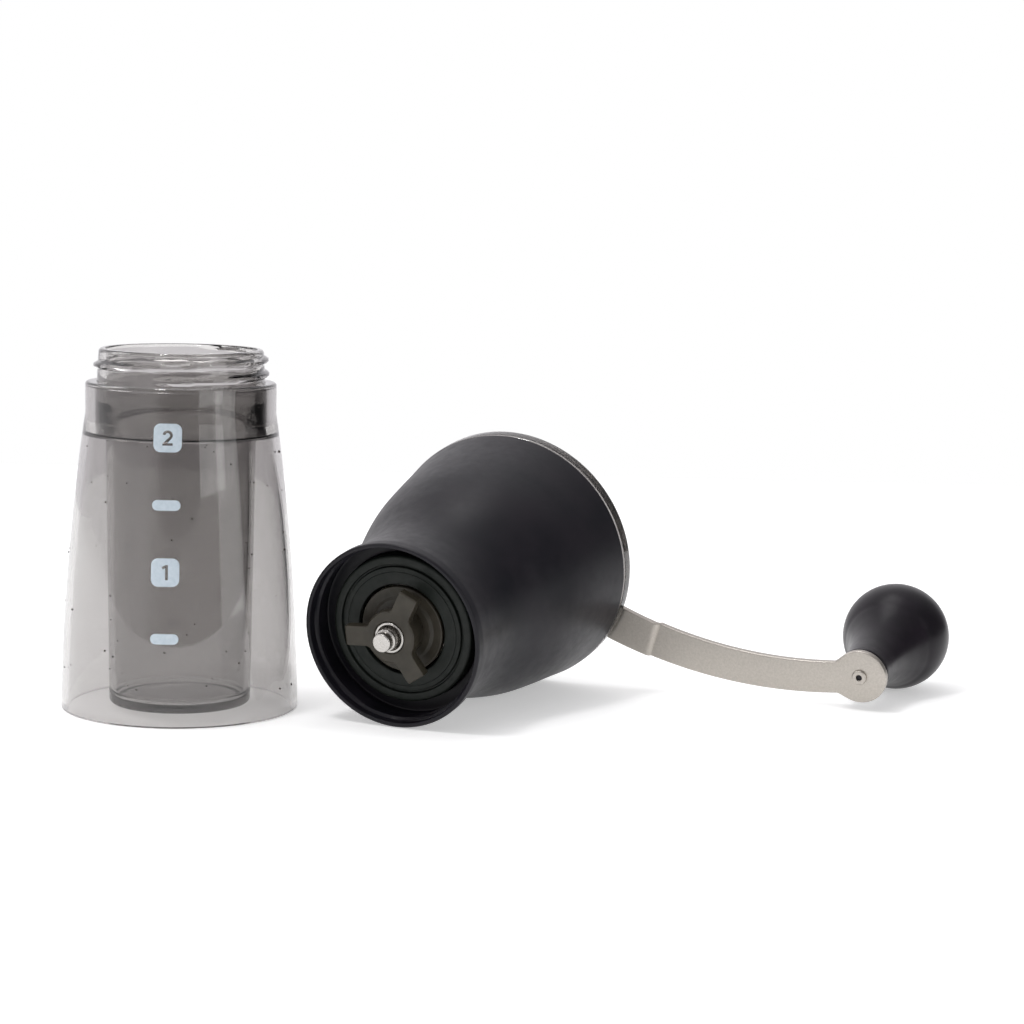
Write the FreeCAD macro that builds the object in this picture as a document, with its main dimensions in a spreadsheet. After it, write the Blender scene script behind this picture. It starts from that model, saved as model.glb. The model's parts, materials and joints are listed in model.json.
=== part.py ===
import FreeCAD, Part
import math
import os

import Sketcher
from FreeCAD import Placement, Rotation, Vector

# A hand crank coffee grinder laid out on a table: the clear grounds jar stands upright at
# the origin, and the mill lies beside it on its mouth rim, the side of its bell and its knob.
# Mill parts are modelled about the mill's own axis, with their heights counted from the mouth
# plane towards the lid, and then carried to their place on the table.

document = FreeCAD.newDocument("coffee_grinder")
sheet = document.addObject("Spreadsheet::Sheet", "Sizes")

# Driving dimensions, in millimetres and degrees.
DIMENSIONS = {
    # Grounds jar
    "foot_radius": 31.8,
    "waist_radius": 29.4,
    "waist_height": 44.2,
    "collar_radius": 25.3,
    "collar_start": 79.5,
    "shoulder_height": 87.6,
    "band_height": 73.6,
    "skirt_wall": 1.8,
    "lip_thickness": 1.4,
    "neck_radius": 22.3,
    "band_step": 0.35,
    "band_gap": 0.05,
    "neck_bore": 20.1,
    "rim_height": 96.4,
    "vessel_top_radius": 19.9,
    "vessel_foot_radius": 18.9,
    "vessel_wall": 1.6,
    "vessel_floor": 3.4,
    "thread_depth": 1.1,
    "thread_pitch": 3.0,
    "mark_proud": 0.25,
    "mark_width": 7.6,
    "mark_spacing": 17.2,
    "mark_start": 23.4,
    # Bell housing
    "mouth_radius": 25.0,
    "mouth_bore": 23.8,
    "mouth_depth": 10.0,
    "mouth_thread_depth": 1.0,
    "burr_seat_radius": 20.05,
    "ledge_height": 27.5,
    "throat_radius": 19.2,
    "bell_radius": 36.2,
    "housing_length": 74.0,
    "spider_seat_height": 58.0,
    "spider_seat_radius": 30.0,
    "spider_bore": 31.4,
    "hopper_radius": 33.4,
    # Burrs and their holder
    "holder_radius": 20.0,
    "holder_face": 6.5,
    "holder_groove_radius": 16.2,
    "holder_groove_depth": 1.2,
    "holder_lip": 1.4,
    "outer_burr_radius": 15.6,
    "outer_burr_face": 6.3,
    "outer_burr_mouth": 12.3,
    "outer_burr_throat": 10.4,
    "outer_burr_length": 12.2,
    "inner_burr_radius": 11.6,
    "inner_burr_top": 7.6,
    "inner_burr_length": 11.8,
    "carrier_thickness": 2.0,
    "carrier_hub_radius": 6.0,
    # Grind adjuster
    "star_face": -1.1,
    "star_tip_radius": 13.0,
    "star_arm_width": 5.4,
    "star_hub_radius": 7.0,
    "star_thickness": 3.2,
    "insert_radius": 4.15,
    "seat_gap": 0.05,
    # Shaft and its bearings
    "shaft_radius": 3.0,
    "shaft_tip_radius": 2.5,
    "shaft_tip_length": 2.2,
    "shaft_start": -5.8,
    "shaft_shoulder": 75.0,
    "hex_radius": 2.85,
    "hex_length": 11.0,
    "bush_radius": 4.4,
    "bush_flange": 5.6,
    "spider_hub_radius": 6.4,
    "spider_hub_length": 6.0,
    "spider_arm_width": 3.6,
    "spider_ring_width": 2.4,
    "spider_ring_height": 3.5,
    "washer_thickness": 0.8,
    "spring_radius": 4.2,
    "spring_wire": 0.7,
    "running_gap": 0.1,
    "sliding_gap": 0.02,
    # Lid
    "lid_radius": 36.28,
    "lid_height": 5.0,
    "lid_plate": 2.0,
    "lid_wall": 1.6,
    "lid_skirt": 4.0,
    "lid_gap": 0.2,
    "lid_hole": 4.5,
    "lid_edge_round": 1.0,
    # Crank
    "crank_radius": 105.4,
    "crank_bulge": 10.9,
    "crank_root_width": 11.4,
    "crank_tip_width": 8.8,
    "crank_disc_radius": 7.4,
    "crank_hub_radius": 8.5,
    "disc_fillet": 6.0,
    "hub_fillet": 4.0,
    "crank_thickness": 2.0,
    "crank_height": 79.9,
    "crank_step": 1.2,
    "crank_step_radius": 44.0,
    "boss_radius": 6.5,
    "boss_length": 5.6,
    # Knob
    "ball_radius": 15.1,
    "ball_height": 118.6,
    "knob_foot_radius": 7.2,
    "knob_neck_radius": 7.0,
    "knob_washer_thickness": 0.5,
    "pin_head_radius": 2.05,
    "pin_head_thickness": 0.8,
    "pin_radius": 1.6,
    "pin_length": 32.0,
    "knob_bush_radius": 3.0,
    "clip_radius": 3.2,
    # Where the mill lies
    "mouth_contact_x": 59.7,
    "mouth_contact_y": -23.7,
    "mill_heading": 23.56,
    "crank_angle": 15.18,
    "star_angle": 57.3,
}


class Size:
    """A length that carries its number and the spreadsheet expression behind it."""

    def __init__(self, value, text):
        self.value = value
        self.text = text

    def __add__(self, other):
        other = as_size(other)
        return Size(self.value + other.value, f"({self.text} + {other.text})")

    def __sub__(self, other):
        other = as_size(other)
        return Size(self.value - other.value, f"({self.text} - {other.text})")

    def __mul__(self, factor):
        factor = as_size(factor)
        return Size(self.value * factor.value, f"({self.text} * {factor.text})")

    def __truediv__(self, factor):
        factor = as_size(factor)
        return Size(self.value / factor.value, f"({self.text} / {factor.text})")


def as_size(number):
    """Wrap a bare number so that it can stand in an expression."""
    if isinstance(number, Size):
        return number
    return Size(float(number), repr(float(number)))


class Sizes:
    """The driving dimensions by name."""


def fill_sheet():
    """Write every driving dimension to the sheet and hand back the named sizes."""
    sizes = Sizes()
    for row, (name, number) in enumerate(DIMENSIONS.items(), start=1):
        sheet.set(f"A{row}", name)
        sheet.set(f"B{row}", repr(number))
        sheet.setAlias(f"B{row}", name)
        setattr(sizes, name, Size(number, f"Sizes.{name}"))
    document.recompute()
    return sizes


S = fill_sheet()
ZERO = as_size(0)
PARTS = []


# Places -----------------------------------------------------------------------------------

def bell_side():
    """The bell's outer side: a narrow waist behind the mouth band, flaring to the lid."""
    reach = S.bell_radius.value - S.mouth_radius.value
    shares = [
        (3.0, 0.00),
        (8.0, -0.05),
        (15.0, -0.07),
        (22.0, -0.015),
        (29.0, 0.14),
        (37.0, 0.385),
        (46.0, 0.605),
        (56.0, 0.76),
        (66.0, 0.89),
        (S.housing_length.value, 1.00),
    ]
    return [Vector(S.mouth_radius.value + share * reach, 0, up) for up, share in shares]


def smooth_edge(points):
    """One smooth edge through profile points."""
    curve = Part.BSplineCurve()
    curve.interpolate(points)
    return curve.toShape()


def resting_tilt():
    """Slope of the line from the mouth rim that just touches the bell's side."""
    mouth = S.mouth_radius.value
    side = smooth_edge(bell_side()).discretize(400)
    return max(math.degrees(math.atan2(point.x - mouth, point.z)) for point in side)


def mill_place():
    """Placement that lays the mill on the table on its mouth rim and the side of its bell."""
    tilt = resting_tilt()
    lay_down = Rotation(Vector(1, 0, 0), tilt - 90)
    turn = Rotation(Vector(0, 0, 1), -S.mill_heading.value)
    rotation = turn.multiply(lay_down)
    up_side = rotation.multVec(Vector(0, -1, 0))
    contact = Vector(S.mouth_contact_x.value, S.mouth_contact_y.value, 0)
    return Placement(contact + up_side * S.mouth_radius.value, rotation)


MILL = mill_place()
JAR = Placement()


def on_mill(height, angle=0.0, radius=0.0):
    """Place on the mill axis at a height, turned by an angle and moved out by a radius."""
    height = as_size(height).value
    turn = Placement(Vector(0, 0, height), Rotation(Vector(0, 0, 1), angle))
    return MILL.multiply(turn).multiply(Placement(Vector(radius, 0, 0), Rotation()))


def on_crank(height, radius=0.0):
    """Place beside the crank arm, at a height above the mouth and a distance from the axis."""
    return on_mill(height, S.crank_angle.value, as_size(radius).value)


# Builders ---------------------------------------------------------------------------------

def add_part(feature, place):
    """Note a finished sub-part and put it in its place."""
    feature.Placement = place
    PARTS.append(feature)
    return feature


def plane_of(body, role):
    """One of a body's own origin planes."""
    return next(item for item in body.Origin.OriginFeatures if item.Role == role)


def new_sketch(body, name, role):
    sketch = body.newObject("Sketcher::SketchObject", name)
    sketch.AttachmentSupport = (plane_of(body, role), [""])
    sketch.MapMode = "FlatFace"
    return sketch


def pin_point(sketch, edge, across, up):
    """Hold the start of an edge at sizes from the sketch's origin."""
    for kind, size, axis in (("DistanceX", across, -2), ("DistanceY", up, -1)):
        size = as_size(size)
        if abs(size.value) < 1e-9:
            sketch.addConstraint(Sketcher.Constraint("PointOnObject", edge, 1, axis))
            continue
        number = sketch.addConstraint(Sketcher.Constraint(kind, -1, 1, edge, 1, size.value))
        sketch.setExpression(f"Constraints[{number}]", size.text)


def draw_outline(sketch, corners):
    """Closed outline of straight edges through corners held by sheet sizes."""
    points = [Vector(as_size(x).value, as_size(y).value, 0) for x, y in corners]
    count = len(points)
    for index in range(count):
        sketch.addGeometry(Part.LineSegment(points[index], points[(index + 1) % count]), False)
    for index in range(count):
        sketch.addConstraint(Sketcher.Constraint("Coincident", index, 2, (index + 1) % count, 1))
    for index, (across, up) in enumerate(corners):
        pin_point(sketch, index, across, up)


def turned_body(label, corners, place):
    """A body turned about its own axis from an outline of (radius, height) corners."""
    body = document.addObject("PartDesign::Body", label)
    sketch = new_sketch(body, label + "_outline", "XZ_Plane")
    draw_outline(sketch, corners)
    turn = body.newObject("PartDesign::Revolution", label + "_turn")
    turn.Profile = sketch
    turn.ReferenceAxis = (sketch, ["V_Axis"])
    turn.Angle = 360
    body.Tip = turn
    return add_part(body, place)


def ring_body(label, bore, radius, length, place):
    """A plain ring or bush."""
    corners = [(bore, 0), (radius, 0), (radius, length), (bore, length)]
    return turned_body(label, corners, place)


def made_part(label, shape, place):
    """A sub-part whose form is free-curved or built from several tools."""
    feature = document.addObject("Part::Feature", label)
    feature.Shape = shape
    return add_part(feature, place)


def turned_shape(edges):
    """Solid of revolution about Z from a closed run of edges in the XZ plane."""
    face = Part.Face(Part.Wire(Part.__sortEdges__(edges)))
    return face.revolve(Vector(0, 0, 0), Vector(0, 0, 1), 360)


def profile_point(radius, height):
    return Vector(as_size(radius).value, 0, as_size(height).value)


def line_run(points):
    """Straight edges through a run of profile points."""
    return [Part.makeLine(first, second) for first, second in zip(points, points[1:])]


def arc_edge(start, middle, end):
    return Part.Arc(start, middle, end).toShape()


def cylinder(radius, length, base=0.0):
    return Part.makeCylinder(as_size(radius).value, as_size(length).value, Vector(0, 0, base))


# Grounds jar ------------------------------------------------------------------------------

def skirt_arc(inset):
    """The skirt's curved side, moved in by a wall thickness, from the foot to the collar."""
    inset = as_size(inset)
    start = profile_point(S.foot_radius - inset, 0)
    middle = profile_point(S.waist_radius - inset, S.waist_height)
    end = profile_point(S.collar_radius - inset, S.collar_start)
    return Part.Arc(start, middle, end)


def arc_point_at(arc, height):
    """Point of an arc at a height."""
    level = Part.makeLine(Vector(0, 0, height), Vector(90, 0, height))
    return arc.toShape().distToShape(level)[1][0][0]


def jar_thread(core, heights):
    """Corners of ring-shaped thread ridges standing out of the neck."""
    foot = S.thread_pitch * 0.3
    crest = S.thread_pitch * 0.1
    corners = []
    for height in heights:
        corners += [
            (core, height - foot),
            (core + S.thread_depth, height - crest),
            (core + S.thread_depth, height + crest),
            (core, height + foot),
        ]
    return corners


def make_jar_vessel():
    """The clear inner cup, with the band that meets the skirt and the threaded neck."""
    edge = 0.3
    foot_round = 1.6
    floor_round = 2.4
    band_radius = S.neck_radius + S.band_step - S.band_gap
    neck_foot = S.shoulder_height - S.lip_thickness
    ridges = [S.shoulder_height + rise for rise in (1.8, 4.6)]
    bore_foot = S.vessel_foot_radius - S.vessel_wall
    corners = [
        (ZERO, ZERO),
        (S.vessel_foot_radius - foot_round, ZERO),
        (S.vessel_foot_radius - foot_round / 4, as_size(foot_round / 2.7)),
        (S.vessel_foot_radius, as_size(foot_round * 1.4)),
        (S.vessel_top_radius, S.band_height),
        (band_radius, S.band_height),
        (band_radius, neck_foot),
        (S.neck_radius, neck_foot),
    ]
    corners += jar_thread(S.neck_radius, ridges)
    corners += [
        (S.neck_radius, S.rim_height - edge),
        (S.neck_radius - edge, S.rim_height),
        (S.neck_bore + edge, S.rim_height),
        (S.neck_bore, S.rim_height - edge),
        (S.vessel_top_radius - S.vessel_wall, S.band_height - 2),
        (bore_foot, S.vessel_floor + floor_round),
        (bore_foot - floor_round, S.vessel_floor),
        (ZERO, S.vessel_floor),
    ]
    turned_body("jar_vessel", corners, JAR)


def make_jar_skirt():
    """The flared outer shell that the jar stands on, open underneath."""
    outer = skirt_arc(0)
    inner = skirt_arc(S.skirt_wall)
    foot_out = outer.StartPoint
    collar_out = outer.EndPoint
    foot_in = inner.StartPoint
    band_in = arc_point_at(inner, S.band_height.value)
    half_way = arc_point_at(inner, S.waist_height.value)
    seat = S.neck_radius + S.band_step
    top = S.shoulder_height
    edge = 0.5
    edges = [outer.toShape(), arc_edge(foot_in, half_way, band_in)]
    edges += line_run([foot_out, foot_in])
    edges += line_run([
        collar_out,
        profile_point(S.collar_radius, top - edge),
        profile_point(S.collar_radius - edge, top),
        profile_point(S.neck_radius, top),
        profile_point(S.neck_radius, top - S.lip_thickness),
        profile_point(seat, top - S.lip_thickness),
        profile_point(seat, S.band_height),
        band_in,
    ])
    made_part("jar_skirt", turned_shape(edges), JAR)


def stroke(width, height, across, up):
    """One bar of a numeral, standing in the XZ plane and reaching past the skirt's front."""
    depth = 60
    corner = Vector(across - width / 2, -depth, up - height / 2)
    return Part.makeBox(width, depth, height, corner)


def numeral_strokes(digit, up):
    """Bars that draw the scale's 1 or 2 about a height."""
    bar = 0.7
    half_width = 1.3
    half_height = 2.2
    upright = half_height + bar / 2
    if digit == 1:
        return [stroke(bar, 2 * upright, 0, up), stroke(2 * half_width, bar, 0, up - half_height)]
    wide = 2 * half_width + bar
    return [
        stroke(wide, bar, 0, up + half_height),
        stroke(wide, bar, 0, up),
        stroke(wide, bar, 0, up - half_height),
        stroke(bar, upright, half_width, up + half_height / 2),
        stroke(bar, upright, -half_width, up - half_height / 2),
    ]


def make_scale_marks():
    """Two numbered squares and two dashes printed on the front of the skirt."""
    skin = turned_shape([
        skirt_arc(0).toShape(),
        skirt_arc(as_size(0) - S.mark_proud).toShape(),
        Part.makeLine(skirt_arc(0).StartPoint, skirt_arc(as_size(0) - S.mark_proud).StartPoint),
        Part.makeLine(skirt_arc(0).EndPoint, skirt_arc(as_size(0) - S.mark_proud).EndPoint),
    ])
    width = S.mark_width.value
    dash_height = 2.6
    square_corner = 1.2
    dash_corner = 0.6
    solids = []
    for step, digit in enumerate((0, 1, 0, 2)):
        up = S.mark_start.value + step * S.mark_spacing.value
        height = width if digit else dash_height
        plate = stroke(width, height, 0, up)
        corners = [edge for edge in plate.Edges if abs(edge.Curve.Direction.y) > 0.99]
        plate = plate.makeFillet(square_corner if digit else dash_corner, corners)
        if digit:
            plate = plate.cut(numeral_strokes(digit, up))
        solids += plate.common(skin).Solids
    made_part("scale_marks", Part.makeCompound(solids), JAR)


# Bell housing -----------------------------------------------------------------------------

def mouth_ridges():
    """Profile points of the two thread ridges inside the mouth, from the depth outwards."""
    foot = 1.0
    crest = 0.35
    bore = S.mouth_bore.value
    top = bore - S.mouth_thread_depth.value
    points = []
    for turn in (1.5, 0.5):
        middle = turn * S.thread_pitch.value
        points += [
            Vector(bore, 0, middle + foot),
            Vector(top, 0, middle + crest),
            Vector(top, 0, middle - crest),
            Vector(bore, 0, middle - foot),
        ]
    return points


def make_bell_housing():
    """The black body: threaded mouth, seat for the burrs, funnel and hopper in one moulding."""
    side = bell_side()
    rim_round = 0.4
    funnel_belly = 9.2
    belly_height = 17
    throat_length = 2
    lid_clearance = 1
    spider_clearance = 4
    mouth_start = [
        profile_point(S.mouth_bore, 0),
        profile_point(S.mouth_radius - rim_round, 0),
        profile_point(S.mouth_radius, rim_round),
        side[0],
    ]
    funnel_top = profile_point(S.spider_seat_radius, S.spider_seat_height)
    funnel_foot = profile_point(S.throat_radius, S.ledge_height + throat_length)
    inside_top = [
        side[-1],
        profile_point(S.hopper_radius, S.housing_length),
        profile_point(S.hopper_radius, S.housing_length - S.lid_skirt - lid_clearance),
        profile_point(S.spider_bore, S.spider_seat_height + spider_clearance),
        profile_point(S.spider_bore, S.spider_seat_height),
        funnel_top,
    ]
    inside_foot = [
        funnel_foot,
        profile_point(S.throat_radius, S.ledge_height),
        profile_point(S.burr_seat_radius, S.ledge_height),
        profile_point(S.burr_seat_radius, S.mouth_depth),
        profile_point(S.mouth_bore, S.mouth_depth),
    ]
    inside_foot += mouth_ridges()
    inside_foot.append(mouth_start[0])
    funnel_middle = profile_point(S.throat_radius + funnel_belly, S.ledge_height + belly_height)
    edges = line_run(mouth_start) + [smooth_edge(side)] + line_run(inside_top)
    edges += [smooth_edge([funnel_top, funnel_middle, funnel_foot])] + line_run(inside_foot)
    made_part("bell_housing", turned_shape(edges), MILL)


# Burrs and adjuster -----------------------------------------------------------------------

def make_burr_holder():
    """Dark ring that carries the outer burr in the mouth."""
    face = S.holder_face
    top = S.outer_burr_face + S.outer_burr_length
    seat = S.outer_burr_radius + 0.05
    ring_top = S.ledge_height - S.spider_ring_height
    inner = S.outer_burr_throat + S.holder_lip
    edge = 0.8
    corners = [
        (S.holder_groove_radius, face),
        (S.holder_radius - edge, face),
        (S.holder_radius, face + edge),
        (S.holder_radius, ring_top),
        (inner, ring_top),
        (inner, top),
        (seat, top),
        (seat, face + S.holder_groove_depth),
        (S.holder_groove_radius, face + S.holder_groove_depth),
    ]
    turned_body("outer_burr_holder", corners, MILL)


def make_outer_burr():
    """Fixed ceramic ring, wider at its mouth, with grooves cut along its inner cone."""
    face = S.outer_burr_face.value
    length = S.outer_burr_length.value
    mouth = S.outer_burr_mouth.value
    throat = S.outer_burr_throat.value
    land = 1.6
    ring = cylinder(S.outer_burr_radius, length, face)
    straight = cylinder(mouth, land, face)
    cone = Part.makeCone(mouth, throat, length - land, Vector(0, 0, face + land))
    groove_depth = 1.0
    groove_width = 1.2
    groove_start = Vector(throat + 0.4, -groove_width / 2, face + land + 1)
    grooves = []
    count = 18
    for index in range(count):
        groove = Part.makeBox(groove_depth, groove_width, length - land, groove_start)
        groove.rotate(Vector(), Vector(0, 0, 1), index * 360 / count)
        grooves.append(groove)
    made_part("outer_burr", ring.cut([straight, cone] + grooves), MILL)


def make_inner_burr():
    """Turning ceramic cone with ribs that draw the beans down."""
    foot = S.outer_burr_face.value + S.carrier_thickness.value
    length = S.inner_burr_length.value
    cone = Part.makeCone(S.inner_burr_radius.value, S.inner_burr_top.value, length,
                         Vector(0, 0, foot))
    bore = cylinder(S.carrier_hub_radius + 0.05, length, foot)
    groove_depth = 0.7
    groove_width = 1.3
    land = 1.4
    grooves = []
    count = 12
    lean = math.degrees(math.atan2((S.inner_burr_radius - S.inner_burr_top).value, length))
    for index in range(count):
        corner = Vector(-groove_depth, -groove_width / 2, -1)
        groove = Part.makeBox(groove_depth + 2, groove_width, length + 4, corner)
        groove.rotate(Vector(), Vector(0, 1, 0), -lean)
        groove.translate(Vector(S.inner_burr_radius.value - 0.1, 0, foot + land))
        groove.rotate(Vector(), Vector(0, 0, 1), index * 360 / count)
        grooves.append(groove)
    made_part("inner_burr", cone.cut([bore] + grooves), MILL)


def make_burr_carrier():
    """Olive brown disc and sleeve that turn the inner burr with the shaft."""
    bore = S.shaft_radius + S.running_gap
    face = S.outer_burr_face
    back = face + S.carrier_thickness
    sleeve_top = back + S.inner_burr_length
    edge = 0.5
    corners = [
        (bore, face),
        (S.inner_burr_radius - edge, face),
        (S.inner_burr_radius, face + edge),
        (S.inner_burr_radius, back),
        (S.carrier_hub_radius, back),
        (S.carrier_hub_radius, sleeve_top),
        (bore, sleeve_top),
    ]
    turned_body("burr_carrier", corners, MILL)


def make_adjuster_star():
    """Three-armed nut that sets the grind, on a hub that bears on the carrier."""
    thickness = S.star_thickness.value
    hub_length = (S.outer_burr_face - S.star_face - S.seat_gap).value
    tip_round = 0.7
    hub = cylinder(S.star_hub_radius, thickness)
    neck = cylinder(S.star_hub_radius - tip_round, hub_length)
    width = S.star_arm_width.value
    arms = []
    for index in range(3):
        arm = Part.makeBox(S.star_tip_radius.value, width, thickness, Vector(0, -width / 2, 0))
        arm.rotate(Vector(), Vector(0, 0, 1), index * 120)
        arms.append(arm)
    star = hub.fuse([neck] + arms).removeSplitter()
    tips = []
    for edge in star.Edges:
        box = edge.BoundBox
        upright = abs(box.ZLength - thickness) < 0.01 and max(box.XLength, box.YLength) < 0.01
        reach = math.hypot(edge.CenterOfMass.x, edge.CenterOfMass.y)
        if upright and reach > S.star_hub_radius.value + 1:
            tips.append(edge)
    star = star.makeFillet(tip_round, tips)
    socket = cylinder(S.insert_radius, hub_length)
    made_part("adjuster_star", star.cut(socket), on_mill(S.star_face, S.star_angle.value))


def make_adjuster_insert():
    """Metal thread pressed into the star."""
    length = S.outer_burr_face - S.star_face - S.seat_gap
    bore = S.shaft_radius + S.sliding_gap
    chamfer = 0.4
    corners = [
        (bore + chamfer, ZERO),
        (S.insert_radius, ZERO),
        (S.insert_radius, length),
        (bore, length),
        (bore, as_size(chamfer)),
    ]
    turned_body("adjuster_insert", corners, on_mill(S.star_face))


# Shaft and bearings -----------------------------------------------------------------------

def make_drive_shaft():
    """Steel shaft: stepped threaded foot, round body and a six-sided head for the crank."""
    length = S.shaft_shoulder - S.shaft_start
    edge = 0.3
    step = 0.4
    corners = [
        (ZERO, ZERO),
        (S.shaft_tip_radius - edge, ZERO),
        (S.shaft_tip_radius, as_size(edge)),
        (S.shaft_tip_radius, S.shaft_tip_length),
        (S.shaft_radius, S.shaft_tip_length + step),
        (S.shaft_radius, length),
        (ZERO, length),
    ]
    body = turned_body("drive_shaft", corners, on_mill(S.shaft_start))
    head = new_sketch(body, "shaft_head_outline", "XY_Plane")
    head.AttachmentOffset = Placement(Vector(0, 0, length.value), Rotation())
    head.setExpression("AttachmentOffset.Base.z", length.text)
    radius = S.hex_radius.value
    turns = [math.radians(60 * index) for index in range(6)]
    points = [Vector(radius * math.cos(turn), radius * math.sin(turn), 0) for turn in turns]
    for index in range(6):
        head.addGeometry(Part.LineSegment(points[index], points[(index + 1) % 6]), False)
    circle = head.addGeometry(Part.Circle(Vector(), Vector(0, 0, 1), radius), True)
    head.addConstraint(Sketcher.Constraint("Coincident", circle, 3, -1, 1))
    for index in range(6):
        head.addConstraint(Sketcher.Constraint("Coincident", index, 2, (index + 1) % 6, 1))
        head.addConstraint(Sketcher.Constraint("PointOnObject", index, 1, circle))
        if index:
            head.addConstraint(Sketcher.Constraint("Equal", 0, index))
    head.addConstraint(Sketcher.Constraint("PointOnObject", 0, 1, -1))
    size = head.addConstraint(Sketcher.Constraint("Radius", circle, radius))
    head.setExpression(f"Constraints[{size}]", S.hex_radius.text)
    pad = body.newObject("PartDesign::Pad", "shaft_head")
    pad.Profile = head
    pad.setExpression("Length", S.hex_length.text)
    body.Tip = pad


def make_spider(label, ring_radius, ring_foot, hub_foot, turn):
    """Ring, three arms and a bearing hub that hold the shaft in the middle of the bell."""
    ring_foot = as_size(ring_foot).value
    hub_foot = as_size(hub_foot).value
    height = S.spider_ring_height.value
    radius = as_size(ring_radius).value
    inner = radius - S.spider_ring_width.value
    ring = cylinder(radius, height, ring_foot).cut(cylinder(inner, height, ring_foot))
    hub = cylinder(S.spider_hub_radius, S.spider_hub_length, hub_foot)
    arm_foot = max(ring_foot, hub_foot)
    arm_top = min(ring_foot + height, hub_foot + S.spider_hub_length.value)
    width = S.spider_arm_width.value
    arms = []
    for index in range(3):
        corner = Vector(0, -width / 2, arm_foot)
        arm = Part.makeBox(inner + 0.5, width, arm_top - arm_foot, corner)
        arm.rotate(Vector(), Vector(0, 0, 1), turn + index * 120)
        arms.append(arm)
    bore = cylinder(S.bush_radius, S.spider_hub_length, hub_foot)
    spider = ring.fuse([hub] + arms).cut(bore).removeSplitter()
    made_part(label, spider, MILL)


def make_bush(label, foot):
    """Flanged bearing bush pressed into a spider's hub, its flange towards the lid."""
    bore = S.shaft_radius + S.seat_gap
    back = S.spider_hub_length + S.washer_thickness
    corners = [
        (bore, ZERO),
        (S.bush_radius, ZERO),
        (S.bush_radius, S.spider_hub_length),
        (S.bush_flange, S.spider_hub_length),
        (S.bush_flange, back),
        (bore, back),
    ]
    turned_body(label, corners, on_mill(foot))


def make_burr_spring(foot, length):
    """Coil spring that presses the inner burr against the adjuster."""
    wire = S.spring_wire.value / 2
    turns = 2.5
    gap = 0.05
    rise = length - 2 * (wire + gap)
    helix = Part.makeHelix(rise / turns, rise, S.spring_radius.value)
    section = Part.makeCircle(wire, Vector(S.spring_radius.value, 0, 0), Vector(0, 1, 0))
    coil = Part.Wire(helix).makePipeShell([Part.Wire(section)], True, True)
    made_part("burr_spring", coil, on_mill(foot + wire + gap))


def make_shaft_group():
    """Shaft, both spiders with their bushes, the spring and its washer, the top ring."""
    make_drive_shaft()
    hub_overhang = 2.5
    lower_ring = S.ledge_height - S.spider_ring_height
    lower_hub = lower_ring + hub_overhang
    upper_hub = S.spider_seat_height
    upper_radius = S.spider_bore - S.running_gap
    make_spider("lower_spider", S.holder_radius, lower_ring, lower_hub, 30)
    make_bush("lower_bush", lower_hub)
    make_spider("upper_spider", upper_radius, upper_hub, upper_hub, 90)
    make_bush("upper_bush", upper_hub)
    bore = S.shaft_radius + S.sliding_gap
    washer = S.washer_thickness
    washer_foot = lower_hub - washer
    ring_body("thrust_washer", bore, S.bush_flange, washer, on_mill(washer_foot))
    ring_radius = S.shaft_radius + 1.8
    ring_foot = upper_hub + S.spider_hub_length + 1.0
    ring_body("shaft_ring", bore, ring_radius, washer, on_mill(ring_foot))
    spring_foot = (S.outer_burr_face + S.carrier_thickness + S.inner_burr_length).value
    make_burr_spring(spring_foot, washer_foot.value - spring_foot)


# Lid --------------------------------------------------------------------------------------

def make_lid():
    """Clear smoky cover: a flat plate with a thick rim band and a skirt inside the hopper."""
    seat = S.housing_length
    top = seat + S.lid_height
    under = top - S.lid_plate
    skirt_out = S.hopper_radius - S.lid_gap
    skirt_in = skirt_out - S.lid_wall
    corners = [
        (S.lid_hole, under),
        (skirt_in, under),
        (skirt_in, seat - S.lid_skirt),
        (skirt_out, seat - S.lid_skirt),
        (skirt_out, seat),
        (S.lid_radius, seat),
        (S.lid_radius, top - S.lid_edge_round),
        (S.lid_radius - S.lid_edge_round * 0.3, top - S.lid_edge_round * 0.3),
        (S.lid_radius - S.lid_edge_round, top),
        (S.lid_hole, top),
    ]
    turned_body("lid", corners, MILL)


# Crank and knob ---------------------------------------------------------------------------

def crank_edge_point(share, side):
    """Point on one side of the arm's curved strip, at a share of the way to the pin."""
    reach = S.crank_radius.value
    bulge = S.crank_bulge.value
    radius = (reach * reach / 4 + bulge * bulge) / (2 * bulge)
    centre = Vector(reach / 2, bulge - radius, 0)
    across = share * reach - centre.x
    outward = Vector(across, math.sqrt(radius * radius - across * across), 0) / radius
    root = S.crank_root_width.value
    width = root + (S.crank_tip_width.value - root) * share
    return centre + outward * (radius + side * width / 2)


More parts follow.
